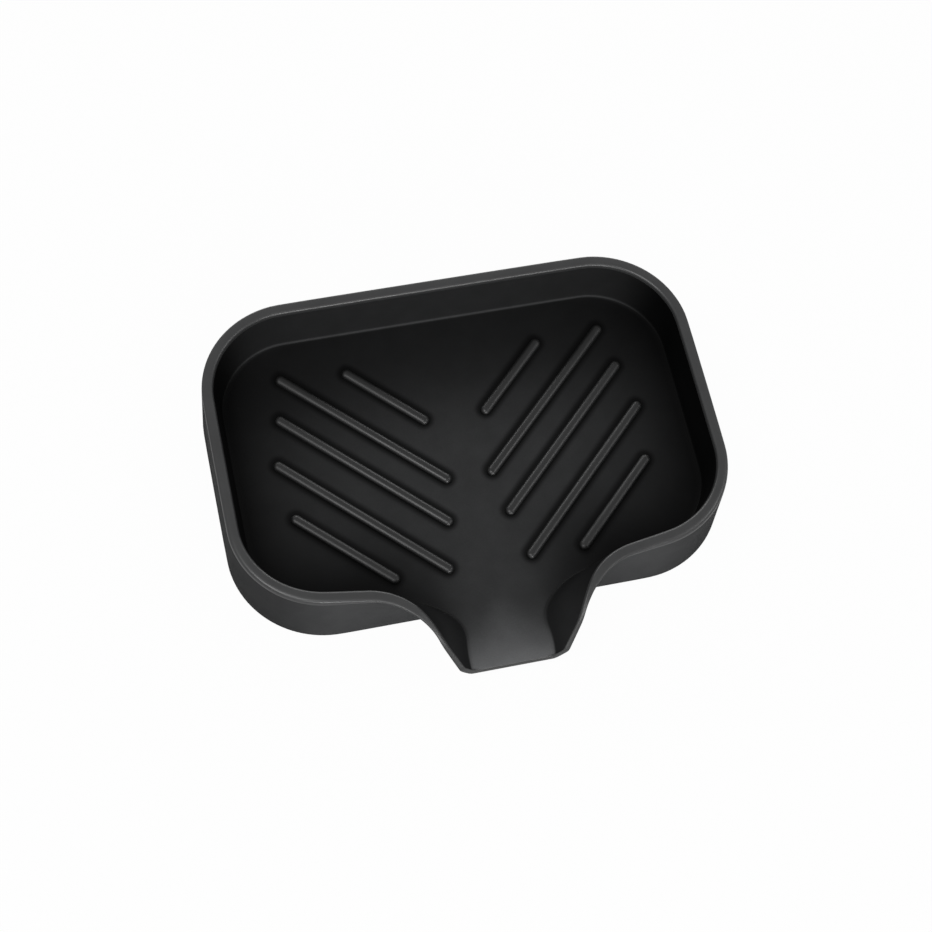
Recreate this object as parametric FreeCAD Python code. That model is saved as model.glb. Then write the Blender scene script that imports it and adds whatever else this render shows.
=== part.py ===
# Self-draining sink tray in soft moulded silicone: a low walled tray with draining ribs and a pour spout.
# Millimetres, +X to the right, +Y to the back, +Z up. The spout points along -Y.
# The origin lies under the middle of the whole tray, on the surface that it stands on.

import FreeCAD
import Part
import math
import os

Vector = FreeCAD.Vector

# Outer wall
base_width = 139.0
base_depth = 91.8
height = 22.4
wall_lean = 0.75
corner_radius = 26.0
front_slope = 9.0

# Rim, inner wall and floor
rim_thickness = 3.0
inner_lean = 1.9
floor_rise = 8.3
floor_thickness = 2.6

# Hollow underside, inside the skirt
skirt_thickness = 2.6
skirt_lean = 1.4

# Pour spout: its channel, its cheeks and the lip where the floor of the channel curves down to the tip.
# The channel is measured at the floor, across the start of the lip. There each cheek spreads out from it to the rim,
# where it has its thickness, and the keel under the spout is wider than the channel by a margin on each side.
spout_reach = 19.6
spout_root_width = 68.0
channel_width = 20.8
cheek_spread = 11.1
keel_margin = 1.8
cheek_thickness = 0.82
cheek_end_rise = 3.9
cheek_slope = 58.0
cheek_crest_radius = 9.0
lip_thickness = 1.7
lip_drop = 2.1
lip_run = 8.4

# Plan of the spout: a shoulder turns out of the front wall, then each cheek bends into the channel and flares.
# The shoulder takes a share of the way from the corner to the channel, at the rim, the floor and the keel.
shoulder_turn = 49.0
rim_shoulder_share = 0.58
floor_shoulder_share = 0.39
keel_shoulder_share = 0.10
rim_cheek_bend = 8.0
floor_cheek_bend = 8.6
keel_cheek_bend = 4.0
rim_flare = 8.0
channel_flare = 15.0
keel_flare = 1.0

# Rounded edge of the rim, as a share of the thickness of a cheek
rim_edge_share = 0.48

# Draining ribs on the floor: ends as shares of the half width and half depth of the floor,
# and the rounding of the top edge as a share of the height of a rib
rib_width = 3.1
rib_height = 1.4
rib_edge_share = 0.85
rib_outer_end_shares = ((0.428, 0.672), (0.719, 0.704), (0.756, 0.396), (0.801, 0.058), (0.772, -0.355))
rib_inner_end_shares = ((0.139, 0.225), (0.102, -0.242), (0.138, -0.555), (0.182, -0.895), (0.415, -0.898))

# Support studs that carry the floor on the counter
stud_top_diameter = 9.0
stud_foot_diameter = 8.0
stud_column_share = 0.66
stud_row_share = 0.52

# How far a cutting shape runs past what it cuts
overrun = 4.0

# Levels and places that follow from the sizes above
rim_half_width = base_width / 2 - wall_lean
rim_half_depth = base_depth / 2 - wall_lean
rim_edge_radius = rim_edge_share * cheek_thickness
floor_inset = rim_thickness + inner_lean
floor_half_width = rim_half_width - floor_inset
floor_half_depth = rim_half_depth - floor_inset
floor_underside = floor_rise - floor_thickness
lip_level = floor_rise - lip_drop
keel_level = lip_level - lip_thickness
tray_middle = spout_reach / 2
spout_tip = tray_middle - base_depth / 2 - spout_reach
lip_start = spout_tip + lip_run
channel_side = channel_width / 2
mouth_side = channel_side + cheek_spread


def point(x, y, z):
    """A point given from the middle of the tray, behind the spout."""
    return Vector(x, y + tray_middle, z)


def mirrored(vector):
    return Vector(-vector.x, vector.y, vector.z)


def line(start, end):
    return Part.LineSegment(start, end).toShape()


def arc(start, middle, end):
    return Part.Arc(start, middle, end).toShape()


def start_of(edge):
    return edge.valueAt(edge.FirstParameter)


def end_of(edge):
    return edge.valueAt(edge.LastParameter)


def heading_step(start, radius, from_angle, to_angle):
    """The point reached from start on an arc that turns from one heading to another.

    A heading of 0 runs along -X, and one of 90 degrees along -Y.
    """
    low = math.radians(from_angle)
    high = math.radians(to_angle)
    step_x = radius * (math.sin(high) - math.sin(low))
    step_y = radius * (math.cos(low) - math.cos(high))
    return start - Vector(step_x, step_y, 0)


def turn(start, radius, from_angle, to_angle):
    middle = heading_step(start, radius, from_angle, (from_angle + to_angle) / 2)
    return arc(start, middle, heading_step(start, radius, from_angle, to_angle))


def corner_arc(start, across, along, radius, side, degrees):
    """A corner about the point (across, side * along) that starts on the side of the tray."""
    level = start.z
    ends = []
    for angle in (math.radians(degrees / 2), math.radians(degrees)):
        ends.append(point(across + radius * math.cos(angle), side * (along + radius * math.sin(angle)), level))
    return arc(start, ends[0], ends[1])


def back_edges(level, half_width, half_depth, radius, slope):
    """Right half of a rounded rectangle, from the middle of the back to the end of the front corner."""
    across = half_width - radius
    along = half_depth - radius
    back = line(point(0, half_depth, level), point(across, half_depth, level))
    side = line(point(half_width, along, level), point(half_width, -along, level))
    from_side = corner_arc(start_of(side), across, along, radius, 1, 90)
    middle = from_side.valueAt((from_side.FirstParameter + from_side.LastParameter) / 2)
    back_corner = arc(end_of(back), middle, start_of(side))
    front_corner = corner_arc(end_of(side), across, along, radius, -1, 90 - slope)
    return [back, back_corner, side, front_corner]


def closed_outline(right_half):
    """Close the right half of an outline with a straight front edge and its mirror image."""
    front = line(end_of(right_half[-1]), mirrored(end_of(right_half[-1])))
    left_half = []
    for edge in reversed(right_half):
        first = mirrored(end_of(edge))
        last = mirrored(start_of(edge))
        if edge.Curve.TypeId == "Part::GeomLine":
            left_half.append(line(first, last))
        else:
            middle = edge.valueAt((edge.FirstParameter + edge.LastParameter) / 2)
            left_half.append(arc(first, mirrored(middle), last))
    return right_half + [front] + left_half


def plain_outline(level, half_width, half_depth, radius):
    return closed_outline(back_edges(level, half_width, half_depth, radius, 0))


def spout_outline(level, half_width, half_depth, radius, slope, cheek_place, shoulder_share, bend, flare, tip):
    """Outline of the tray with its spout: sloped front, shoulder, bend into the channel, flared cheek.

    The flared cheek passes the start of the lip at x = cheek_place, which sets how wide front and shoulder are.
    """
    edges = back_edges(level, half_width, half_depth, radius, slope)
    corner_end = end_of(edges[-1])
    sloped = math.radians(slope)
    turned = math.radians(shoulder_turn)
    flared = math.radians(flare)
    bend_width = bend * (math.cos(flared) - math.sin(turned))
    bend_depth = bend * (math.cos(turned) + math.sin(flared))
    shoulder_fall = (math.cos(sloped) - math.cos(turned)) / (math.sin(turned) - math.sin(sloped))
    fall = (1 - shoulder_share) * math.tan(sloped) + shoulder_share * shoulder_fall
    bend_place = cheek_place - (corner_end.y - bend_depth - lip_start) * math.tan(flared)
    way = (corner_end.x - bend_width - bend_place) / (1 + fall * math.tan(flared))
    shoulder_width = shoulder_share * way
    shoulder_radius = shoulder_width / (math.sin(turned) - math.sin(sloped))
    front_width = way - shoulder_width
    front_end = corner_end - Vector(front_width, front_width * math.tan(sloped), 0)
    edges.append(line(corner_end, front_end))
    edges.append(turn(front_end, shoulder_radius, slope, shoulder_turn))
    edges.append(turn(end_of(edges[-1]), bend, shoulder_turn, 90 + flare))
    cheek = end_of(edges[-1])
    cheek_end = Vector(cheek.x + (cheek.y - tip) * math.tan(flared), tip, level)
    edges.append(line(cheek, cheek_end))
    return closed_outline(edges)


def ruled_solid(low_edges, high_edges):
    """Closed solid with straight walls from each edge of one outline to its partner in the other."""
    faces = [Part.makeRuledSurface(low, high) for low, high in zip(low_edges, high_edges)]
    faces.append(Part.Face(Part.Wire(low_edges)))
    faces.append(Part.Face(Part.Wire(high_edges)))
    shell = Part.makeShell(faces)
    shell.sewShape()
    solid = Part.makeSolid(shell)
    if solid.Volume < 0:
        solid.reverse()
    return solid


def side_point(y, z):
    return Vector(0, y, z)


def side_prism(edges):
    """Prism across the whole width of the tray, from edges drawn in its side view."""
    half_span = base_width / 2 + overrun
    profile = Part.Face(Part.Wire(edges))
    profile.translate(Vector(-half_span, 0, 0))
    return profile.extrude(Vector(half_span + half_span, 0, 0))


def skirt_solid():
    """Outside of the skirt, from the counter up to the underside of the spout."""
    lean = wall_lean * keel_level / height
    base_radius = corner_radius + wall_lean
    low = plain_outline(0, base_width / 2, base_depth / 2, base_radius)
    high = plain_outline(keel_level, base_width / 2 - lean, base_depth / 2 - lean, base_radius - lean)
    return ruled_solid(low, high)


def outer_solid():
    """Outside of the tray and spout, from the underside of the spout up to the rim."""
    lean = wall_lean * keel_level / height
    low = spout_outline(
        keel_level, base_width / 2 - lean, base_depth / 2 - lean, corner_radius + wall_lean - lean, 0,
        channel_side + keel_margin, keel_shoulder_share, keel_cheek_bend, keel_flare, spout_tip,
    )
    high = spout_outline(
        height, rim_half_width, rim_half_depth, corner_radius, front_slope,
        mouth_side, rim_shoulder_share, rim_cheek_bend, rim_flare, spout_tip,
    )
    return ruled_solid(low, high)


def floor_outline(level):
    return spout_outline(
        level, floor_half_width, floor_half_depth, corner_radius - floor_inset, front_slope,
        channel_side, floor_shoulder_share, floor_cheek_bend, channel_flare, spout_tip - overrun,
    )


def rim_inner_outline():
    return spout_outline(
        height, rim_half_width - rim_thickness, rim_half_depth - rim_thickness,
        corner_radius - rim_thickness, front_slope, mouth_side - cheek_thickness,
        rim_shoulder_share, rim_cheek_bend + cheek_thickness, channel_flare, spout_tip - overrun,
    )


def inside_space():
    """The space that the tray holds, from the floor to the rim and out through the spout."""
    return ruled_solid(floor_outline(floor_rise), rim_inner_outline())


def channel_half_width(edges, y):
    """Half width at y between the straight cheeks of an outline."""
    cheek_end = end_of(edges[len(edges) // 2 - 1])
    return cheek_end.x - (y - cheek_end.y) * math.tan(math.radians(channel_flare))


def lip_channel():
    """The channel over the lip, with the cheeks carried on below the level of the floor."""
    floor_edges = floor_outline(floor_rise)
    top_width = channel_half_width(rim_inner_outline(), lip_start)
    cheek_lean = (top_width - channel_half_width(floor_edges, lip_start)) / (height - floor_rise)
    outlines = []
    for level in (lip_level, floor_rise + lip_drop):
        shift = cheek_lean * (level - floor_rise)
        back = Vector(channel_half_width(floor_edges, lip_start) + shift, lip_start, level)
        front_y = spout_tip - overrun
        front = Vector(channel_half_width(floor_edges, front_y) + shift, front_y, level)
        corners = [back, front, mirrored(front), mirrored(back)]
        outlines.append([line(corners[i - 1], corners[i]) for i in range(len(corners))])
    return ruled_solid(outlines[0], outlines[1])


def lip_space():
    """The space over the lip, where the floor of the channel curves down to the tip."""
    lip_radius = (lip_run ** 2 + lip_drop ** 2) / (2 * lip_drop)
    half_turn = math.asin(lip_run / lip_radius) / 2
    start = side_point(lip_start, floor_rise)
    middle = side_point(
        lip_start - lip_radius * math.sin(half_turn),
        floor_rise - lip_radius * (1 - math.cos(half_turn)),
    )
    tip = side_point(spout_tip, lip_level)
    front = side_point(spout_tip - overrun, lip_level)
    above = side_point(spout_tip - overrun, floor_rise + lip_drop)
    back = side_point(lip_start, floor_rise + lip_drop)
    over_lip = side_prism(
        [arc(start, middle, tip), line(tip, front), line(front, above), line(above, back), line(back, start)]
    )
    return lip_channel().common(over_lip)


def space_over_cheeks():
    """All that lies over the cheeks, whose tops curve down from the level rim to the tip."""
    fall = math.radians(cheek_slope)
    end = side_point(spout_tip, lip_level + cheek_end_rise)
    corner_y = spout_tip + (height - end.z) / math.tan(fall)
    tangent = cheek_crest_radius * math.tan(fall / 2)
    start = side_point(corner_y + tangent, height)
    middle = side_point(
        start.y - cheek_crest_radius * math.sin(fall / 2),
        height - cheek_crest_radius * (1 - math.cos(fall / 2)),
    )
    crest_end = side_point(corner_y - tangent * math.cos(fall), height - tangent * math.sin(fall))
    front = side_point(spout_tip - overrun, end.z)
    above = side_point(spout_tip - overrun, height + overrun)
    back = side_point(start.y, height + overrun)
    return side_prism(
        [
            arc(start, middle, crest_end), line(crest_end, end), line(end, front),
            line(front, above), line(above, back), line(back, start),
        ]
    )


def underside_space():
    """The hollow inside the skirt, under the floor."""
    base_radius = corner_radius + wall_lean
    top_inset = skirt_thickness + skirt_lean
    low = plain_outline(
        0, base_width / 2 - skirt_thickness, base_depth / 2 - skirt_thickness, base_radius - skirt_thickness
    )
    high = plain_outline(
        floor_underside, base_width / 2 - top_inset, base_depth / 2 - top_inset, base_radius - top_inset
    )
    return ruled_solid(low, high)


def moulding():
    """The whole moulded body with its rim rounded, before it is parted into floor, wall and spout."""
    body = outer_solid().fuse(skirt_solid())
    body = body.cut(inside_space())
    body = body.cut(lip_space())
    body = body.cut(space_over_cheeks())
    body = body.cut(underside_space()).removeSplitter()
    rim_edges = [
        edge for edge in body.Edges if all(math.isclose(vertex.Z, height) for vertex in edge.Vertexes)
    ]
    return body.makeFillet(rim_edge_radius, rim_edges)


def spout_root_plane():
    """Where the floor meets the spout: the front of the floor at the outer ends of the spout's root."""
    front_start = end_of(back_edges(
        floor_rise, floor_half_width, floor_half_depth, corner_radius - floor_inset, front_slope
    )[-1])
    across = front_start.x - spout_root_width / 2
    return front_start.y - across * math.tan(math.radians(front_slope))


def spout_region():
    """The part of space that belongs to the spout: a box in front of the floor."""
    corner = Vector(-spout_root_width / 2, spout_tip - overrun, -overrun)
    depth = spout_root_plane() - corner.y
    return Part.makeBox(spout_root_width, depth, height + overrun - corner.z, corner)


def floor_pan():
    plate = Part.Face(Part.Wire(floor_outline(floor_underside)))
    return plate.extrude(Vector(0, 0, floor_thickness)).cut(spout_region())


def rib(outer, inner):
    """A rib with round ends that stands on the floor, with its top edge rounded over."""
    run = (inner - outer).normalize()
    side = Vector(-run.y, run.x, 0).multiply(rib_width / 2)
    cap = Vector(run).multiply(rib_width / 2)
    edges = [
        line(outer + side, inner + side),
        arc(inner + side, inner + cap, inner - side),
        line(inner - side, outer - side),
        arc(outer - side, outer - cap, outer + side),
    ]
    bar = Part.Face(Part.Wire(edges)).extrude(Vector(0, 0, rib_height))
    mid_level = floor_rise + rib_height / 2
    top_edges = [edge for edge in bar.Edges if edge.BoundBox.ZMin > mid_level]
    return bar.makeFillet(rib_edge_share * rib_height, top_edges)


def rib_end(shares, side):
    return point(side * shares[0] * floor_half_width, shares[1] * floor_half_depth, floor_rise)


def support_stud(column, row):
    foot = point(
        column * stud_column_share * floor_half_width, row * stud_row_share * floor_half_depth, 0
    )
    return Part.makeCone(stud_foot_diameter / 2, stud_top_diameter / 2, floor_underside, foot)


def pieces():
    body = moulding()
    pan = floor_pan()
    nodes = {
        "floor_pan": pan,
        "rim_wall": body.cut(spout_region()).cut(pan),
        "pour_spout": body.common(spout_region()),
    }
    for side_name, side in (("left", -1), ("right", 1)):
        for number, (outer, inner) in enumerate(zip(rib_outer_end_shares, rib_inner_end_shares), 1):
            nodes[f"drain_rib_{side_name}_{number}"] = rib(rib_end(outer, side), rib_end(inner, side))
    for row_name, row in (("back", 1), ("front", -1)):
        for column_name, column in (("left", -1), ("middle", 0), ("right", 1)):
            nodes[f"support_stud_{row_name}_{column_name}"] = support_stud(column, row)
    return nodes


os.makedirs("parts", exist_ok=True)
for name, shape in pieces().items():
    shape = shape.removeSplitter()
    shape.exportStep(f"parts/{name}.step")
    print(f"{name}: {len(shape.Solids)} solid, valid {shape.isValid()}, volume {shape.Volume:.1f} mm3")
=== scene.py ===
# Self-draining sink tray in matte black silicone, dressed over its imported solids.
# Metres, in the frame of the solids: +X to the right, +Y to the back, +Z up, spout towards -Y.

import math

import bmesh
import bpy
from mathutils import Matrix, Vector


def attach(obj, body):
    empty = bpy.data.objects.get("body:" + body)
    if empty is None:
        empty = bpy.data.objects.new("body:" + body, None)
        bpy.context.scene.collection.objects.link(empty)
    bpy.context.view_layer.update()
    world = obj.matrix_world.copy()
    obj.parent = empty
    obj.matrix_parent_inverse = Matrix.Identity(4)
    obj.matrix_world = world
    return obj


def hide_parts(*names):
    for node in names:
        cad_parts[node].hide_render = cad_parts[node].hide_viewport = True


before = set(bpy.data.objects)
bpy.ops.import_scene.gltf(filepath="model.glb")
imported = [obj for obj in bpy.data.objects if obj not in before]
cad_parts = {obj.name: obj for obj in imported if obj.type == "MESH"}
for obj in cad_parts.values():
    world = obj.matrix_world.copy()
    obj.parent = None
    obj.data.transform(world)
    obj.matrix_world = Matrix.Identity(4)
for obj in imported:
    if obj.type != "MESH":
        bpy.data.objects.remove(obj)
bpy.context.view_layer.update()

mm = 0.001

# Sizes of the tray, as its solids have them
base_half_width = 69.5 * mm
base_half_depth = 45.9 * mm
height = 22.4 * mm
wall_lean = 0.75 * mm
corner_radius = 26.0 * mm
front_slope = math.radians(9.0)
rim_thickness = 3.0 * mm
inner_lean = 1.9 * mm
floor_level = 8.3 * mm
floor_underside = 5.7 * mm
skirt_thickness = 2.6 * mm
skirt_lean = 1.4 * mm

# Sizes of the pour spout, close to those of its solids
spout_reach = 19.6 * mm
channel_side = 10.85 * mm
mouth_side = 21.5 * mm
keel_side = 12.2 * mm
cheek_thickness = 0.82 * mm
cheek_slope = math.radians(58.2)
cheek_crest_radius = 12.2 * mm
cheek_end_rise = 3.1 * mm
lip_level = 6.2 * mm
lip_run = 8.9 * mm
keel_level = 4.5 * mm
shoulder_turn = math.radians(49.0)

# Plans of the spout: the shoulder's share of the front, the radius of the bend, the flare of the cheek
floor_shoulder = 0.39
floor_bend = 8.5 * mm
floor_flare = math.radians(10.6)
rim_shoulder = 0.54
rim_bend = 12.7 * mm
inner_flare = math.radians(8.0)
outer_flare = math.radians(5.0)
keel_slope = 0.0
keel_shoulder = 0.10
keel_bend = 4.0 * mm
keel_flare = math.radians(1.0)

# Softened edges and small steps
front_rim_extra = 0.5 * mm
lip_hollow = 0.35 * mm
floor_round = 0.8 * mm
channel_round = 1.0 * mm
rim_round = 1.2 * mm
back_rim_round = 0.5 * mm
rim_inner_round = 1.0 * mm
cheek_inner_round = 0.45 * mm
keel_round = 0.5 * mm
base_round = 0.6 * mm
hollow_round = 1.0 * mm
nose_round = 0.25 * mm
tip_corner = 0.4 * mm
tip_lean = 1.9 * mm
skirt_drop = 0.6 * mm

# Draining ribs: their ends are shares of the half width and half depth of the floor
rib_width = 3.1 * mm
rib_height = 1.4 * mm
rib_sink = 0.3 * mm
rib_seed = 1.0 * mm
rib_draft = 0.96
rib_end_round = 0.4999 * rib_width
rib_round = 1.25 * mm
rib_ends = (
    ((0.428, 0.672), (0.139, 0.225)),
    ((0.719, 0.704), (0.102, -0.242)),
    ((0.756, 0.396), (0.138, -0.555)),
    ((0.801, 0.058), (0.182, -0.895)),
    ((0.772, -0.355), (0.415, -0.898)),
)

# Studs under the floor: their columns and rows are shares of its half width and half depth
stud_foot_radius = 4.0 * mm
stud_top_radius = 4.5 * mm
stud_round = 0.5 * mm
stud_column = 0.66
stud_row = 0.52

# How finely the outlines, the section, the ribs and the studs are divided
corner_steps = 14
front_steps = 3
shoulder_steps = 10
bend_steps = 8
flare_steps = 10
flare_crowding = 1.6
lip_shares = (0.0, 0.08, 0.4, 1.0)
round_steps = 4
wall_steps = 5
rib_end_steps = 10
rib_top_steps = 6
stud_sides = 40
stud_foot_steps = 4

# Limits: the share of a side that a rounding may take, how near two points are one, which edges stay sharp,
# and how the top of a wall is searched for along its line
longest_leg = 0.42
no_length = 1e-7
weld = 0.002 * mm
mirror_weld = 0.005 * mm
sharp_angle = math.radians(40)
search_start = -0.2
search_halvings = 40

# Places that follow from the sizes
tray_middle = spout_reach / 2
spout_tip = tray_middle - base_half_depth - spout_reach
lip_start = spout_tip + lip_run
lip_end = spout_tip + lip_hollow
rim_half_width = base_half_width - wall_lean
rim_half_depth = base_half_depth - wall_lean
base_radius = corner_radius + wall_lean
floor_inset = rim_thickness + inner_lean
floor_half_width = rim_half_width - floor_inset
floor_half_depth = rim_half_depth - floor_inset
lip_drop = floor_level - lip_level
lip_radius = (lip_run ** 2 + lip_drop ** 2) / (2 * lip_drop)

# Tones of the black, the painted light on the lip, and how the ribs follow the painted shade of the floor
floor_tone = 0.0245
# painted light on the lip, at its brightest at the tip
lip_painted_tone = 0.07
darkest_tone = 0.0015
rib_tone = 0.011
outside_tone = 0.055
# share of the floor's painted shade that the ribs take, darker towards their outer ends
rib_shading = 0.6
rib_polish = -0.16
rib_dulling = 0.14

# Each finish: its gloss, the range of its roughness and the strength of its relief
inside_gloss, inside_rough, inside_relief = 0.06, (0.44, 0.54), 0.1
rib_gloss, rib_rough, rib_relief = 0.56, (0.36, 0.42), 0.004
rim_gloss, rim_rough, rim_relief = 0.7, (0.34, 0.42), 0.04
outside_gloss, outside_rough, outside_relief = 0.03, (0.56, 0.66), 0.12

# The moulded skin: scale and detail of its noises, and the range by which two of them change the tone
skin_tint = (0.985, 1.0, 1.02)
cloud_noise, cloud_range = (170, 4), (0.93, 1.07)
grain_noise, grain_range = (3200, 2), (0.94, 1.06)
wear_noise = (90, 5)
relief_noise = (2600, 3)
relief_depth = 0.04 * mm
noise_span = (0.3, 0.7)

# Painted shade inside the tray: up to which side the black clears of it, how fast, and how far back the
# painted shadow round the ribs is moved
painted_shade_half_width = 66 * mm
painted_shade_power = 2.3
# painted shadow round the ribs, moved a little towards the back
painted_shadow_move = 0.35 * mm

# Changes over the tray: where each one starts and ends, and its value at the start and at the end.
# By the distance to the rib
# painted shadow on the floor round each rib, darkest next to it
rib_painted_shadow = (1.8 * mm, 3.7 * mm, 0.2, 1.0)
# By the distance from the middle to the side
# painted shade behind the front wall, stronger away from the middle
front_shade_sides = (2 * mm, 36 * mm, 0.0, 0.97)
# how the painted light on the lip narrows away from the middle
lip_bow = (0.0, 10 * mm, 1.25, 2.3)
# painted light on the back wall, fading towards its corners
back_wall_sides = (50 * mm, 62 * mm, 1.0, 0.4)
# painted shade on the outside towards its left and right ends
outside_side_shade = (40 * mm, 64 * mm, 1.0, 0.5)
# From the front to the back
# painted shade towards the back wall and behind the front wall
back_shade = (5 * mm, 42 * mm, 1.0, 0.33)
front_shade = (-5 * mm, -32 * mm, 0.0, 1.0)
lip_fall = (lip_start, spout_tip, 0.0, 1.0)
# painted light on the lip, growing towards the tip
lip_painted_glow = (-36 * mm, spout_tip, 0.0, 1.0)
# painted shade at the foot of the inner walls, at the front and sides but not at the back
crease_shade_rows = (36 * mm, 26 * mm, 0.0, 1.0)
# painted light on the back wall
back_wall_rows = (38 * mm, 48 * mm, 0.0, 1.0)
# painted shade on the rim along the cheeks of the spout
rim_tone_and_painted_shade = (-38 * mm, -50 * mm, 0.026, 0.016)
rim_dulling = (-38 * mm, -50 * mm, 0.0, 0.1)
# From the base up
# painted light on the lip, fading out just above its surface
lip_edge = (floor_level + 0.15 * mm, floor_level + 0.8 * mm, 1.0, 0.0)
# painted shade at the foot of the inner walls, from just above the floor, fading up the wall
crease_shade_start = (floor_level + 0.01 * mm, floor_level + 0.12 * mm, 0.0, 1.0)
crease_shade_depth = (floor_level, floor_level + 9 * mm, 0.5, 0.0)
# painted light on the back wall, with a painted highlight along the crease at its foot
wall_start = (floor_level, floor_level + 0.15 * mm, 0.0, 1.0)
back_wall_painted_tone = (floor_level + 0.2 * mm, floor_level + 0.7 * mm, 0.025, 0.010)
# painted shade on the ribs' flanks, darker at their feet
rib_flank_shade = (floor_level + 0.3 * mm, floor_level + 1.1 * mm, 0.1, 1.0)
# painted shade on the outside towards the base
outside_base_shade = (0.0, 16 * mm, 0.9, 1.0)

# Studio: its floor, the light from all round, and for each lamp the azimuth and elevation in degrees,
# the distance, the width and depth, and the share of full light
studio_size = 30.0
studio_drop = 0.02 * mm
studio_grey = (0.6, 0.6, 0.6, 1)
studio_rough = 0.9
studio_whiteness = 0.97
world_strength = 0.35
softboxes = {
    "key_softbox": (-62, 58, 1.0, 0.5, 0.5, 0.4),
    "front_softbox": (0, 25, 0.9, 0.6, 0.2, 0.5),
    "right_softbox": (76, 44, 0.9, 0.4, 0.4, 0.15),
    "back_softbox": (172, 22, 0.9, 1.0, 0.25, 0.4),
}

# Camera: where the photograph was taken from, with its focal length and shift in widths of the picture
view_azimuth = math.radians(-20.573)
view_elevation = math.radians(64.561)
view_roll = math.radians(8.972)
view_distance = 536.438 * mm
view_target = Vector((-2.582 * mm, -3.3 * mm, height))
photo_width = 932
focal_length = 1993.3 / photo_width
sideways_shift = -0.3 / photo_width
sensor_width = 36


def blend(start, end, share):
    """A value between two others, at a share that stays from 0 to 1."""
    return start + (end - start) * min(1, max(0, share))


def tray_corner(half_width, half_depth, radius, slope, front_inset=0):
    """Plan of the right half from the middle of the back, round both corners, to the start of the front."""
    across = half_width - radius
    along = half_depth - radius
    points = [Vector((0, half_depth + tray_middle))]
    for side, sweep in ((1, math.pi / 2), (-1, math.pi / 2 - slope)):
        for step in range(corner_steps + 1):
            angle = sweep * (1 - step / corner_steps) if side > 0 else sweep * step / corner_steps
            x = across + radius * math.cos(angle)
            y = side * (along + radius * math.sin(angle)) + tray_middle
            if side < 0:
                y += front_inset * math.sin(angle)
            points.append(Vector((x, y)))
    return points


def heading_move(radius, start, end):
    """Move along an arc from one heading to another: 0 runs along -X, a quarter turn along -Y."""
    return Vector((
        -radius * (math.sin(end) - math.sin(start)),
        -radius * (math.cos(start) - math.cos(end)),
    ))


def spout_outline(
        half_width, half_depth, radius, slope, cheek_place, shoulder_share, bend, flare,
        front_inset=0, tip_inset=0):
    """Plan of the right half with the spout: sloped front, shoulder, bend into the channel, flared cheek."""
    points = tray_corner(half_width, half_depth, radius, slope, front_inset)
    corner_end = points[-1]
    bend_width = bend * (math.cos(flare) - math.sin(shoulder_turn))
    bend_depth = bend * (math.cos(shoulder_turn) + math.sin(flare))
    turn_sine = math.sin(shoulder_turn) - math.sin(slope)
    shoulder_fall = (math.cos(slope) - math.cos(shoulder_turn)) / turn_sine
    fall = (1 - shoulder_share) * math.tan(slope) + shoulder_share * shoulder_fall
    bend_place = cheek_place - (corner_end.y - bend_depth - lip_start) * math.tan(flare)
    way = (corner_end.x - bend_width - bend_place) / (1 + fall * math.tan(flare))
    front_width = (1 - shoulder_share) * way
    shoulder_radius = shoulder_share * way / turn_sine
    for step in range(1, front_steps + 1):
        share = step / front_steps
        points.append(corner_end - share * front_width * Vector((1, math.tan(slope))))
    start = points[-1]
    for step in range(1, shoulder_steps + 1):
        heading = slope + (shoulder_turn - slope) * step / shoulder_steps
        points.append(start + heading_move(shoulder_radius, slope, heading))
    start = points[-1]
    for step in range(1, bend_steps + 1):
        heading = shoulder_turn + (math.pi / 2 + flare - shoulder_turn) * step / bend_steps
        points.append(start + heading_move(bend, shoulder_turn, heading))
    start = points[-1]
    run = start.y - (spout_tip + tip_inset)
    for step in range(1, flare_steps + 1):
        share = 1 - (1 - step / flare_steps) ** flare_crowding
        points.append(start + run * share * Vector((math.tan(flare), -1)))
    return points


def plain_outline(half_width, half_depth, radius, root):
    """Plan of the right half without the spout, with as many points: its front runs straight on."""
    points = tray_corner(half_width, half_depth, radius, 0)
    corner_end = points[-1]
    for step in range(1, front_steps + 1):
        share = step / front_steps
        points.append(Vector((corner_end.x + (root - corner_end.x) * share, corner_end.y)))
    spout_steps = shoulder_steps + bend_steps + flare_steps + len(lip_shares)
    for step in range(1, spout_steps + 1):
        points.append(Vector((root * (1 - step / spout_steps), corner_end.y)))
    return points


def crest_level(y):
    """Height of the top of a cheek: level with the rim, then curved down to the lip at the tip."""
    end = lip_level + cheek_end_rise
    corner = spout_tip + (height - end) / math.tan(cheek_slope)
    tangent = cheek_crest_radius * math.tan(cheek_slope / 2)
    past = corner + tangent - y
    if past <= 0:
        return height
    if past < cheek_crest_radius * math.sin(cheek_slope):
        return height - cheek_crest_radius + math.sqrt(cheek_crest_radius ** 2 - past ** 2)
    return height - (corner - y) * math.tan(cheek_slope)


def lip_surface(y):
    """Height of the floor, which curves down along the lip."""
    past = max(0, lip_start - y)
    return floor_level - lip_radius + math.sqrt(lip_radius ** 2 - past ** 2)


def raised(plan, level):
    """A point of a plan at a height."""
    return Vector((plan.x, plan.y, level))


def wall_top(foot, head):
    """The point of a wall's straight line from foot to head where it meets the top of the rim or cheek."""
    low, high = search_start, 1.0
    for _ in range(search_halvings):
        share = (low + high) / 2
        place = foot.lerp(head, share)
        if place.z < crest_level(place.y):
            low = share
        else:
            high = share
    return foot.lerp(head, high)


def wall_foot(foot, head):
    """The point of an inner wall's line where it meets the floor or the lip."""
    drop = floor_level - lip_surface(foot.y)
    return foot.lerp(head, -drop / (height - floor_level))


def rounded(corner, before, after):
    """Points that round off a corner between the ends of its two legs."""
    points = []
    for step in range(round_steps + 1):
        share = step / round_steps
        points.append(corner + before * (1 - share) ** 2 + after * share ** 2)
    return points


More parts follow.
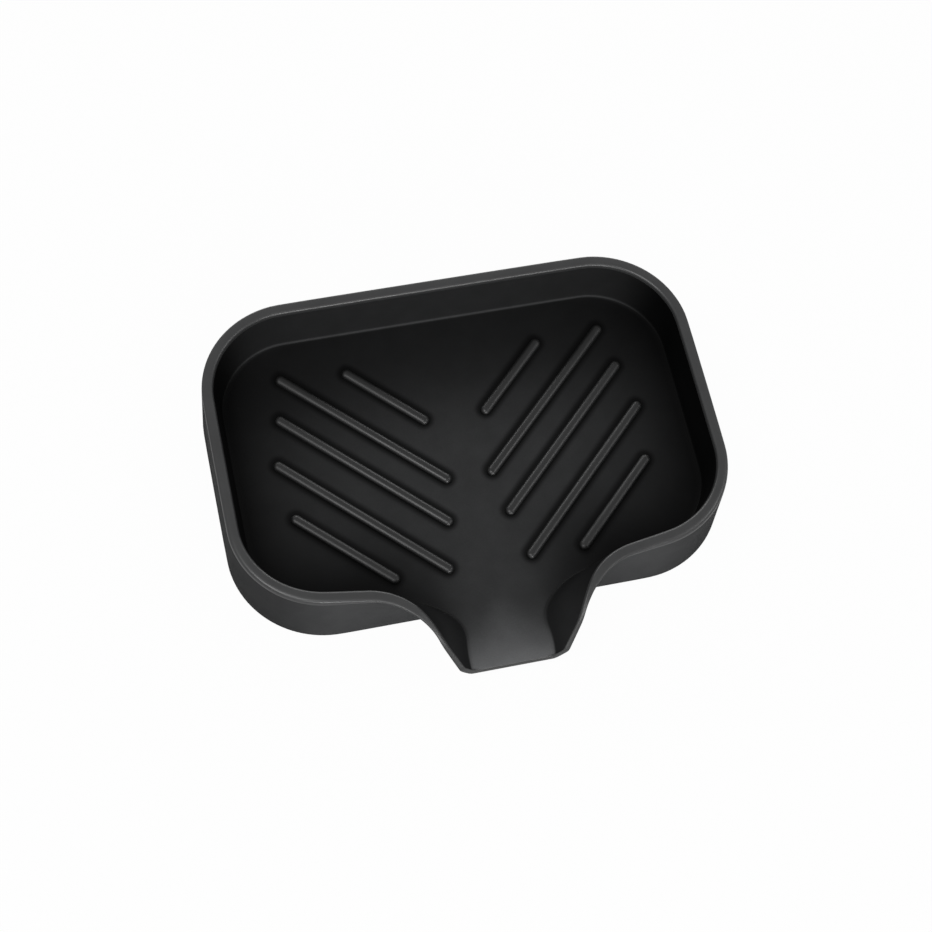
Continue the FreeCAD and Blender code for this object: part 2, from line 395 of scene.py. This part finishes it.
def leg(start, towards, length):
    """A leg of a corner, no longer than a share of the way to the next corner."""
    way = towards - start
    if way.length < no_length:
        return Vector((0, 0, 0))
    return way.normalized() * min(length, longest_leg * way.length)


def softened(corner, before, after, radius):
    """Points that round off a corner towards the corners before and after it."""
    return rounded(corner, leg(corner, before, radius), leg(corner, after, radius))


def unsoftened(corner):
    """A corner that stays sharp, with as many points as a round one."""
    return rounded(corner, Vector((0, 0, 0)), Vector((0, 0, 0)))


def between(start, end):
    """Points spaced evenly between two ends, without the ends."""
    return [start.lerp(end, step / wall_steps) for step in range(1, wall_steps)]


def body_sections():
    """Sections of the right half along its outline, and the steps where the rim and the outside start."""
    floor_plan = spout_outline(
        floor_half_width, floor_half_depth, corner_radius - floor_inset, front_slope,
        channel_side, floor_shoulder, floor_bend, floor_flare, tip_inset=lip_hollow + nose_round)
    inner_plan = spout_outline(
        rim_half_width - rim_thickness, rim_half_depth - rim_thickness, corner_radius - rim_thickness,
        front_slope, mouth_side - cheek_thickness, rim_shoulder, rim_bend + cheek_thickness, inner_flare,
        front_inset=front_rim_extra)
    outer_plan = spout_outline(
        rim_half_width, rim_half_depth, corner_radius, front_slope,
        mouth_side, rim_shoulder, rim_bend, outer_flare, tip_inset=-tip_lean)
    keel_lean = wall_lean * keel_level / height
    keel_plan = spout_outline(
        base_half_width - keel_lean, base_half_depth - keel_lean, base_radius - keel_lean, keel_slope,
        keel_side, keel_shoulder, keel_bend, keel_flare, tip_inset=lip_hollow + 2 * nose_round)

    root_index = 2 * corner_steps + 2 + front_steps
    root = keel_plan[root_index].x

    def base_plan(inset):
        return plain_outline(base_half_width - inset, base_half_depth - inset, base_radius - inset, root)

    skirt_level = keel_level - skirt_drop
    skirt_plan = base_plan(wall_lean * skirt_level / height)
    outer_base_plan = base_plan(0)
    inner_base_plan = base_plan(skirt_thickness)
    hollow_plan = base_plan(skirt_thickness + skirt_lean)

    last = len(floor_plan) - 1
    feet, heads, tops, keels = [], [], [], []
    for index in range(last + 1):
        low = raised(floor_plan[index], floor_level)
        high = raised(inner_plan[index], height)
        feet.append(wall_foot(low, high))
        heads.append(wall_top(low, high))
        keels.append(raised(keel_plan[index], keel_level))
        tops.append(wall_top(keels[-1], raised(outer_plan[index], height)))

    # The front of the lip, from its corner to its middle, a little behind the ends of the cheeks
    for share in lip_shares:
        inner_x = (feet[last].x - tip_corner) * (1 - share)
        keel_x = (keels[last].x - tip_corner) * (1 - share)
        feet.append(Vector((inner_x, feet[last].y, feet[last].z)))
        heads.append(Vector((inner_x, lip_end, lip_level)))
        tops.append(Vector((keel_x, lip_end, keel_level)))
        keels.append(Vector((keel_x, lip_end + 2 * nose_round, keel_level)))

    sections = []
    for index in range(len(feet)):
        foot, head, top, keel = feet[index], heads[index], tops[index], keels[index]
        skirt = raised(skirt_plan[index], skirt_level)
        outer_base = raised(outer_base_plan[index], 0)
        inner_base = raised(inner_base_plan[index], 0)
        hollow = raised(hollow_plan[index], floor_underside)
        hollow_middle = Vector((0, hollow.y, hollow.z))

        if index <= last:
            before = feet[max(index - 1, 0)]
            after = feet[min(index + 1, last)]
            along = (after - before).to_2d().normalized()
            inward = Vector((along.y, -along.x, 0)) if index else Vector((0, -1, 0))
            in_spout = (index - root_index) / shoulder_steps
            wall_leg = leg(foot, head, blend(floor_round, channel_round, in_spout))
            floor_corner = rounded(foot, inward * wall_leg.length, wall_leg)
            rim_inner = softened(head, foot, top, blend(rim_inner_round, cheek_inner_round, in_spout))
            outer_round = blend(rim_round, back_rim_round, top.y / rim_half_depth)
            keel_corner = softened(keel, top, skirt, keel_round)
        else:
            floor_corner = unsoftened(foot)
            rim_inner = rounded(head, foot - head, leg(head, top, nose_round))
            outer_round = nose_round
            keel_corner = unsoftened(keel)
        rim_outer = softened(top, head, keel, outer_round)
        floor_middle = Vector((0, floor_corner[0].y, floor_corner[0].z))
        outer_foot = softened(outer_base, skirt, inner_base, base_round)
        inner_foot = softened(inner_base, outer_base, hollow, base_round)
        hollow_corner = softened(hollow, inner_base, hollow_middle, hollow_round)

        section = [floor_middle] + floor_corner
        section += between(floor_corner[-1], rim_inner[0])
        rim_step = len(section)
        section += rim_inner + [rim_inner[-1].lerp(rim_outer[0], 0.5)] + rim_outer
        wall_step = len(section) - 1
        section += between(rim_outer[-1], keel_corner[0]) + keel_corner
        section += [skirt] + outer_foot + inner_foot + hollow_corner + [hollow_middle]
        sections.append(section)
    return sections, rim_step, wall_step


def deselect_all():
    bpy.ops.object.select_all(action="DESELECT")


def lay_first_line(points):
    """A chain of edges through the points, made from a circle that is opened."""
    bpy.ops.mesh.primitive_circle_add(vertices=len(points), radius=height)
    bpy.ops.object.mode_set(mode="EDIT")
    shape = bmesh.from_edit_mesh(bpy.context.object.data)
    shape.verts.ensure_lookup_table()
    chain = list(shape.verts)
    bpy.ops.mesh.select_all(action="DESELECT")
    bpy.ops.mesh.select_mode(type="EDGE")
    closing = {chain[0], chain[-1]}
    for edge in shape.edges:
        edge.select_set(set(edge.verts) == closing)
    bpy.ops.mesh.delete(type="EDGE")
    bpy.ops.mesh.select_all(action="SELECT")
    shape = bmesh.from_edit_mesh(bpy.context.object.data)
    shape.verts.ensure_lookup_table()
    for vert, place in zip(shape.verts, points):
        vert.co = place


def extrude_to_line(points, finish):
    """Extrude the last chain of edges, and set its new points on the next line of the section."""
    shape = bmesh.from_edit_mesh(bpy.context.object.data)
    chain = [vert.index for vert in shape.verts if vert.select]
    bpy.ops.mesh.extrude_edges_move()
    shape = bmesh.from_edit_mesh(bpy.context.object.data)
    shape.verts.ensure_lookup_table()
    moved = []
    for index in chain:
        vert = shape.verts[index]
        moved.append(next(edge.other_vert(vert) for edge in vert.link_edges if edge.other_vert(vert).select))
    for vert, place in zip(moved, points):
        vert.co = place
        for face in vert.link_faces:
            face.material_index = finish
    bmesh.update_edit_mesh(bpy.context.object.data)


def apply_modifier(kind, **settings):
    modifier = bpy.context.object.modifiers.new(kind.title(), kind)
    for name, value in settings.items():
        setattr(modifier, name, value)
    bpy.ops.object.modifier_apply(modifier=modifier.name)


def model_tray_body(*finishes):
    """The wall, rim, floor and spout as one moulded skin: half of it, drawn line by line, then mirrored."""
    sections, rim_step, wall_step = body_sections()
    lines = list(zip(*sections))
    deselect_all()
    lay_first_line(lines[0])
    body = bpy.context.object
    body.name = "tray_body"
    body.location = (0, 0, 0)
    for finish in finishes:
        body.data.materials.append(finish)
    for step, line in enumerate(lines[1:], 1):
        extrude_to_line(line, (step > rim_step) + (step > wall_step))
    bpy.ops.mesh.select_all(action="SELECT")
    bpy.ops.mesh.remove_doubles(threshold=weld)
    bpy.ops.object.mode_set(mode="OBJECT")
    apply_modifier("MIRROR", merge_threshold=mirror_weld)
    bpy.ops.object.mode_set(mode="EDIT")
    bpy.ops.mesh.select_all(action="SELECT")
    bpy.ops.mesh.remove_doubles(threshold=weld)
    bpy.ops.mesh.dissolve_degenerate(threshold=weld)
    bpy.ops.mesh.normals_make_consistent(inside=False)
    bpy.ops.object.mode_set(mode="OBJECT")
    apply_modifier("SUBSURF", levels=1, render_levels=1)
    bpy.ops.object.shade_smooth()
    return body


def select_edges(test):
    """Select the edges of the edited mesh whose two ends pass a test of their places."""
    bpy.ops.mesh.select_mode(type="EDGE")
    bpy.ops.mesh.select_all(action="DESELECT")
    shape = bmesh.from_edit_mesh(bpy.context.object.data)
    for edge in shape.edges:
        edge.select_set(test(edge.verts[0].co, edge.verts[1].co))
    bmesh.update_edit_mesh(bpy.context.object.data)


def select_points(test):
    """Select the points of the edited mesh whose place passes a test."""
    bpy.ops.mesh.select_mode(type="VERT")
    bpy.ops.mesh.select_all(action="DESELECT")
    shape = bmesh.from_edit_mesh(bpy.context.object.data)
    for vert in shape.verts:
        vert.select_set(test(vert.co))
    shape.select_flush(True)
    bmesh.update_edit_mesh(bpy.context.object.data)


def place_piece(piece, name, finish, *nodes):
    """Fix a piece's place in its mesh, give it its finish, and let it stand for its solids."""
    deselect_all()
    piece.select_set(True)
    bpy.context.view_layer.objects.active = piece
    bpy.ops.object.transform_apply(location=True, rotation=True, scale=True)
    piece.name = name
    piece.data.name = name
    piece.data.materials.clear()
    piece.data.materials.append(finish)
    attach(piece, "root")
    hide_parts(*nodes)


def copy_piece(pattern):
    """A copy of a piece with a mesh of its own."""
    deselect_all()
    pattern.select_set(True)
    bpy.context.view_layer.objects.active = pattern
    bpy.ops.object.duplicate(linked=False)
    return bpy.context.object


def model_rib():
    """A short rib along X: a block with round ends, sides that lean in and a top edge rounded over."""
    deselect_all()
    bpy.ops.mesh.primitive_cube_add(size=1, location=(0, 0, 0))
    rib = bpy.context.object
    bpy.ops.object.mode_set(mode="EDIT")
    bpy.ops.transform.resize(value=(rib_width + rib_seed, rib_width, rib_height + rib_sink))
    bpy.ops.transform.translate(value=(0, 0, (rib_height - rib_sink) / 2))
    select_edges(lambda a, b: abs(a.z - b.z) > rib_height / 2)
    bpy.ops.mesh.bevel(offset=rib_end_round, segments=rib_end_steps, profile=0.5, affect="EDGES")
    bpy.ops.mesh.select_all(action="SELECT")
    bpy.ops.mesh.remove_doubles(threshold=weld)
    select_points(lambda place: place.z > rib_height / 2)
    bpy.ops.transform.resize(value=(1, rib_draft, 1))
    select_edges(lambda a, b: min(a.z, b.z) > rib_height / 2)
    bpy.ops.mesh.bevel(offset=rib_round, segments=rib_top_steps, profile=0.5, affect="EDGES")
    bpy.ops.object.mode_set(mode="OBJECT")
    bpy.ops.object.shade_smooth_by_angle(angle=sharp_angle)
    return rib


def rib_point(side, across, along):
    """An end of a rib in plan."""
    return Vector((side * across * floor_half_width, along * floor_half_depth + tray_middle))


def lay_rib(pattern, name, outer, inner, finish):
    """A copy of the rib, drawn out to its length and laid on the floor between its ends."""
    rib = copy_piece(pattern)
    run = inner - outer
    bpy.ops.object.mode_set(mode="EDIT")
    select_points(lambda place: place.x > 0)
    bpy.ops.transform.translate(value=((run.length - rib_seed) / 2, 0, 0))
    select_points(lambda place: place.x < 0)
    bpy.ops.transform.translate(value=((rib_seed - run.length) / 2, 0, 0))
    bpy.ops.object.mode_set(mode="OBJECT")
    middle = (outer + inner) / 2
    rib.location = (middle.x, middle.y, floor_level)
    rib.rotation_euler = (0, 0, math.atan2(run.y, run.x))
    place_piece(rib, name, finish, name.replace("rib_", "drain_rib_"))


def model_stud():
    """A stud under the floor: a tapered peg with a softened foot."""
    deselect_all()
    bpy.ops.mesh.primitive_cone_add(
        vertices=stud_sides, radius1=stud_foot_radius, radius2=stud_top_radius, depth=floor_underside,
        location=(0, 0, 0))
    stud = bpy.context.object
    bpy.ops.object.mode_set(mode="EDIT")
    bpy.ops.transform.translate(value=(0, 0, floor_underside / 2))
    select_edges(lambda a, b: max(a.z, b.z) < floor_underside / 4)
    bpy.ops.mesh.bevel(offset=stud_round, segments=stud_foot_steps, profile=0.5, affect="EDGES")
    bpy.ops.object.mode_set(mode="OBJECT")
    bpy.ops.object.shade_smooth_by_angle(angle=sharp_angle)
    return stud


def wire(tree, source, target):
    tree.links.new(source, target)


def math_node(tree, operation, *inputs, clamp=False):
    node = tree.nodes.new("ShaderNodeMath")
    node.operation = operation
    node.use_clamp = clamp
    for socket, value in zip(node.inputs, inputs):
        if isinstance(value, (int, float)):
            socket.default_value = value
        else:
            wire(tree, value, socket)
    return node.outputs["Value"]


def times(tree, *values):
    """The product of the values."""
    product = values[0]
    for value in values[1:]:
        product = math_node(tree, "MULTIPLY", product, value)
    return product


def vector_node(tree, operation, first, second):
    node = tree.nodes.new("ShaderNodeVectorMath")
    node.operation = operation
    for socket, value in zip(node.inputs, (first, second)):
        if isinstance(value, tuple):
            socket.default_value = value
        else:
            wire(tree, value, socket)
    return node


def scaled(tree, vector, factor):
    """A fixed vector times a value."""
    node = tree.nodes.new("ShaderNodeVectorMath")
    node.operation = "SCALE"
    node.inputs[0].default_value = vector
    wire(tree, factor, node.inputs["Scale"])
    return node.outputs["Vector"]


def ease(tree, value, change, kind="SMOOTHSTEP"):
    """What a change comes to at a value: where it starts and ends, then what it is there."""
    node = tree.nodes.new("ShaderNodeMapRange")
    node.interpolation_type = kind
    for socket, bound in zip(("From Min", "From Max", "To Min", "To Max"), change):
        node.inputs[socket].default_value = bound
    wire(tree, value, node.inputs["Value"])
    return node.outputs["Result"]


def noise_node(tree, place, scale, detail):
    node = tree.nodes.new("ShaderNodeTexNoise")
    node.inputs["Scale"].default_value = scale
    node.inputs["Detail"].default_value = detail
    wire(tree, place, node.inputs["Vector"])
    return node.outputs["Fac"]


def noise_in_range(tree, place, noise, span):
    """A noise that wanders over a range."""
    return ease(tree, noise_node(tree, place, *noise), (*noise_span, *span), "LINEAR")


def new_finish(name, gloss):
    """A material with its tree, its shader, and the place on the tray with its three axes."""
    material = bpy.data.materials.new(name)
    material.use_nodes = True
    tree = material.node_tree
    shader = tree.nodes["Principled BSDF"]
    shader.inputs["Specular IOR Level"].default_value = gloss
    place = tree.nodes.new("ShaderNodeTexCoord").outputs["Object"]
    axes = tree.nodes.new("ShaderNodeSeparateXYZ")
    wire(tree, place, axes.inputs["Vector"])
    x = math_node(tree, "ABSOLUTE", axes.outputs["X"])
    return material, tree, shader, place, (x, axes.outputs["Y"], axes.outputs["Z"])


def moulded_skin(tree, shader, place, tone, rough, relief, duller=0.0):
    """Cloudy, finely grained skin of moulded silicone over a tone of black."""
    cloud = noise_in_range(tree, place, cloud_noise, cloud_range)
    grain = noise_in_range(tree, place, grain_noise, grain_range)
    colour = scaled(tree, skin_tint, times(tree, tone, cloud, grain))
    wire(tree, colour, shader.inputs["Base Color"])
    wear = noise_in_range(tree, place, wear_noise, rough)
    wire(tree, math_node(tree, "ADD", wear, duller), shader.inputs["Roughness"])
    skin = tree.nodes.new("ShaderNodeBump")
    skin.inputs["Strength"].default_value = relief
    skin.inputs["Distance"].default_value = relief_depth
    wire(tree, noise_node(tree, place, *relief_noise), skin.inputs["Height"])
    wire(tree, skin.outputs["Normal"], shader.inputs["Normal"])


def painted_floor_shade(tree, x, y):
    """Share of the tone left by the painted shade: full in the middle, less at the sides, the back and the
    front wall.
    """
    away = math_node(tree, "POWER", math_node(tree, "DIVIDE", x, painted_shade_half_width), painted_shade_power)
    side = math_node(tree, "SUBTRACT", 1.0, away, clamp=True)
    front = times(tree, ease(tree, y, front_shade), ease(tree, x, front_shade_sides))
    off_front = math_node(tree, "SUBTRACT", 1.0, front, clamp=True)
    return times(tree, side, ease(tree, y, back_shade), off_front)


def rib_distance(tree, x, y):
    """Distance in plan to the middle line of the nearest rib."""
    flat = tree.nodes.new("ShaderNodeCombineXYZ")
    wire(tree, x, flat.inputs["X"])
    wire(tree, y, flat.inputs["Y"])
    nearest = 1.0
    for ends in rib_ends:
        outer, inner = (rib_point(1, *end) for end in ends)
        run = inner - outer
        heading = (*run.normalized(), 0)
        offset = vector_node(tree, "SUBTRACT", flat.outputs["Vector"], (*outer, 0)).outputs["Vector"]
        along = vector_node(tree, "DOT_PRODUCT", offset, heading).outputs["Value"]
        along = math_node(tree, "MINIMUM", math_node(tree, "MAXIMUM", along, 0.0), run.length)
        foot = scaled(tree, heading, along)
        distance = vector_node(tree, "DISTANCE", offset, foot).outputs["Value"]
        nearest = math_node(tree, "MINIMUM", distance, nearest)
    return nearest


def inside_finish():
    """The inside: painted shade at the foot of the walls and round the ribs, painted light on the lip and
    the back wall.
    """
    material, tree, shader, place, (x, y, z) = new_finish("inside_silicone", inside_gloss)
    # painted shadow round the ribs, lying a little behind them
    behind = math_node(tree, "SUBTRACT", y, painted_shadow_move)
    rib_shadow = ease(tree, rib_distance(tree, x, behind), rib_painted_shadow)
    # the floor's tone under painted shade from the walls and painted shadow round the ribs
    floor = times(tree, painted_floor_shade(tree, x, y), rib_shadow, floor_tone)
    fall = ease(tree, y, lip_fall, "LINEAR")
    above = math_node(tree, "MULTIPLY_ADD", times(tree, fall, fall), lip_drop, z)
    # painted light on the lip, brightest at the tip and in the middle
    painted_lip_light = math_node(tree, "POWER", ease(tree, y, lip_painted_glow, "LINEAR"), ease(tree, x, lip_bow))
    lip = times(tree, painted_lip_light, ease(tree, above, lip_edge), lip_painted_tone)
    # painted shade in the crease at the foot of the walls
    foot = times(
        tree, ease(tree, above, crease_shade_start), ease(tree, above, crease_shade_depth), ease(tree, y, crease_shade_rows))
    floor = times(tree, floor, math_node(tree, "SUBTRACT", 1.0, foot))
    # painted light on the back wall, with a painted highlight along the crease at its foot
    back_wall = times(tree, ease(tree, y, back_wall_rows), ease(tree, x, back_wall_sides))
    back_wall_light = times(tree, ease(tree, z, wall_start), ease(tree, z, back_wall_painted_tone), back_wall)
    floor_and_lip = math_node(tree, "ADD", floor, lip)
    tone = math_node(tree, "ADD", floor_and_lip, math_node(tree, "ADD", back_wall_light, darkest_tone))
    moulded_skin(tree, shader, place, tone, inside_rough, inside_relief)
    return material


def rib_finish():
    """The ribs: glossier than the floor, with painted shade at their feet and towards their outer ends."""
    material, tree, shader, place, (x, y, z) = new_finish("rib_silicone", rib_gloss)
    # the floor's painted shade, which the ribs take in part
    clear = painted_floor_shade(tree, x, y)
    shade = math_node(tree, "MULTIPLY_ADD", clear, rib_shading, 1.0 - rib_shading)
    duller = math_node(tree, "MULTIPLY_ADD", clear, rib_polish, rib_dulling)
    tone = times(tree, shade, ease(tree, z, rib_flank_shade), rib_tone)
    moulded_skin(tree, shader, place, tone, rib_rough, rib_relief, duller)
    return material


def rim_finish():
    """The rim: smoother and glossier than the walls, duller along the cheeks of the spout and darker there
    with painted shade.
    """
    material, tree, shader, place, (_, y, _) = new_finish("rim_silicone", rim_gloss)
    # the rim's tone, with painted shade along the cheeks of the spout
    tone = ease(tree, y, rim_tone_and_painted_shade)
    moulded_skin(tree, shader, place, tone, rim_rough, rim_relief, ease(tree, y, rim_dulling))
    return material


def outside_finish():
    """The outside: an even dull black, with painted shade round the sides and towards the base."""
    material, tree, shader, place, (x, _, z) = new_finish("outside_silicone", outside_gloss)
    # painted shade round the sides and towards the base
    tone = times(tree, ease(tree, x, outside_side_shade), ease(tree, z, outside_base_shade), outside_tone)
    moulded_skin(tree, shader, place, tone, outside_rough, outside_relief)
    return material


def under_tray(tree):
    """Where the tray covers the studio floor: inside the middle line of the base of its skirt."""
    place = tree.nodes.new("ShaderNodeTexCoord").outputs["Object"]
    straight = (base_half_width - base_radius, base_half_depth - base_radius, 0)
    away = vector_node(tree, "SUBTRACT", place, (0, tray_middle, 0)).outputs["Vector"]
    away = vector_node(tree, "ABSOLUTE", away, (0, 0, 0)).outputs["Vector"]
    away = vector_node(tree, "SUBTRACT", away, straight).outputs["Vector"]
    away = vector_node(tree, "MAXIMUM", away, (0, 0, 0)).outputs["Vector"]
    reach = vector_node(tree, "LENGTH", away, (0, 0, 0)).outputs["Value"]
    return math_node(tree, "LESS_THAN", reach, base_radius - skirt_thickness / 2)


def add_studio_floor():
    """A pale floor that looks white and keeps a trace of shadow, clear from below and under the tray."""
    deselect_all()
    bpy.ops.mesh.primitive_plane_add(size=studio_size, location=(0, 0, -studio_drop))
    studio_floor = bpy.context.object
    studio_floor.name = "studio_floor"
    material = bpy.data.materials.new("pale_floor")
    material.use_nodes = True
    tree = material.node_tree
    paper = tree.nodes["Principled BSDF"]
    paper.inputs["Base Color"].default_value = studio_grey
    paper.inputs["Roughness"].default_value = studio_rough
    paper.inputs["Specular IOR Level"].default_value = 0.0
    white = tree.nodes.new("ShaderNodeEmission")
    rays = tree.nodes.new("ShaderNodeLightPath")
    lit = tree.nodes.new("ShaderNodeMixShader")
    wire(tree, times(tree, rays.outputs["Is Camera Ray"], studio_whiteness), lit.inputs["Fac"])
    wire(tree, paper.outputs["BSDF"], lit.inputs[1])
    wire(tree, white.outputs["Emission"], lit.inputs[2])
    side = tree.nodes.new("ShaderNodeNewGeometry")
    clear = tree.nodes.new("ShaderNodeBsdfTransparent")
    seen = tree.nodes.new("ShaderNodeMixShader")
    unseen = math_node(tree, "MAXIMUM", side.outputs["Backfacing"], under_tray(tree))
    wire(tree, unseen, seen.inputs["Fac"])
    wire(tree, lit.outputs["Shader"], seen.inputs[1])
    wire(tree, clear.outputs["BSDF"], seen.inputs[2])
    wire(tree, seen.outputs["Shader"], tree.nodes["Material Output"].inputs["Surface"])
    studio_floor.data.materials.append(material)


def light_world(strength):
    """Even light from all round, which the camera sees as white."""
    world = bpy.data.worlds.new("studio_light")
    bpy.context.scene.world = world
    world.use_nodes = True
    tree = world.node_tree
    rays = tree.nodes.new("ShaderNodeLightPath")
    level = math_node(tree, "MULTIPLY_ADD", rays.outputs["Is Camera Ray"], 1.0 - strength, strength)
    wire(tree, level, tree.nodes["Background"].inputs["Strength"])
    tree.nodes["Background"].inputs["Color"].default_value = (1, 1, 1, 1)


def direction(azimuth, elevation):
    """The way from the tray to a place, by its azimuth from the front and its elevation."""
    return Vector((
        math.sin(azimuth) * math.cos(elevation),
        -math.cos(azimuth) * math.cos(elevation),
        math.sin(elevation),
    ))


def add_softbox(name, azimuth, elevation, distance, width, depth, share):
    """A soft lamp that gives a share of full light to a surface square to it."""
    back = direction(math.radians(azimuth), math.radians(elevation))
    deselect_all()
    bpy.ops.object.light_add(type="AREA", location=back * distance)
    lamp = bpy.context.object
    lamp.name = name
    lamp.rotation_euler = back.to_track_quat("Z", "Y").to_euler()
    lamp.data.shape = "RECTANGLE"
    lamp.data.size = width
    lamp.data.size_y = depth
    lamp.data.energy = share * math.pi ** 2 * distance ** 2
    lamp.visible_camera = False


def add_camera():
    """The camera of the photograph, which is rolled a little."""
    back = direction(view_azimuth, view_elevation)
    level_right = Vector((math.cos(view_azimuth), math.sin(view_azimuth), 0))
    level_up = back.cross(level_right)
    right = level_right * math.cos(view_roll) + level_up * math.sin(view_roll)
    up = level_up * math.cos(view_roll) - level_right * math.sin(view_roll)
    deselect_all()
    bpy.ops.object.camera_add()
    camera = bpy.context.object
    camera.name = "photo_camera"
    camera.data.sensor_width = sensor_width
    camera.data.lens = focal_length * sensor_width
    camera.data.shift_x = sideways_shift
    turn = Matrix((right, up, back)).transposed()
    camera.matrix_world = Matrix.Translation(view_target + back * view_distance) @ turn.to_4x4()
    bpy.context.scene.camera = camera


rib_silicone = rib_finish()
outside_silicone = outside_finish()

tray_body = model_tray_body(inside_finish(), rim_finish(), outside_silicone)
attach(tray_body, "root")
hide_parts("floor_pan", "rim_wall", "pour_spout")

rib_pattern = model_rib()
for side_name, side in (("left", -1), ("right", 1)):
    for number, ends in enumerate(rib_ends, 1):
        outer, inner = (rib_point(side, *end) for end in ends)
        lay_rib(rib_pattern, f"rib_{side_name}_{number}", outer, inner, rib_silicone)
bpy.data.objects.remove(rib_pattern)

stud_pattern = model_stud()
for row_name, row in (("back", 1), ("front", -1)):
    for column_name, column in (("left", -1), ("middle", 0), ("right", 1)):
        stud = copy_piece(stud_pattern)
        stud.location = (
            column * stud_column * floor_half_width, row * stud_row * floor_half_depth + tray_middle, 0)
        stud_name = f"stud_{row_name}_{column_name}"
        place_piece(stud, stud_name, outside_silicone, f"support_{stud_name}")
bpy.data.objects.remove(stud_pattern)

add_studio_floor()
light_world(world_strength)
for lamp_name, setting in softboxes.items():
    add_softbox(lamp_name, *setting)
add_camera()

bpy.context.scene.view_settings.view_transform = "Standard"
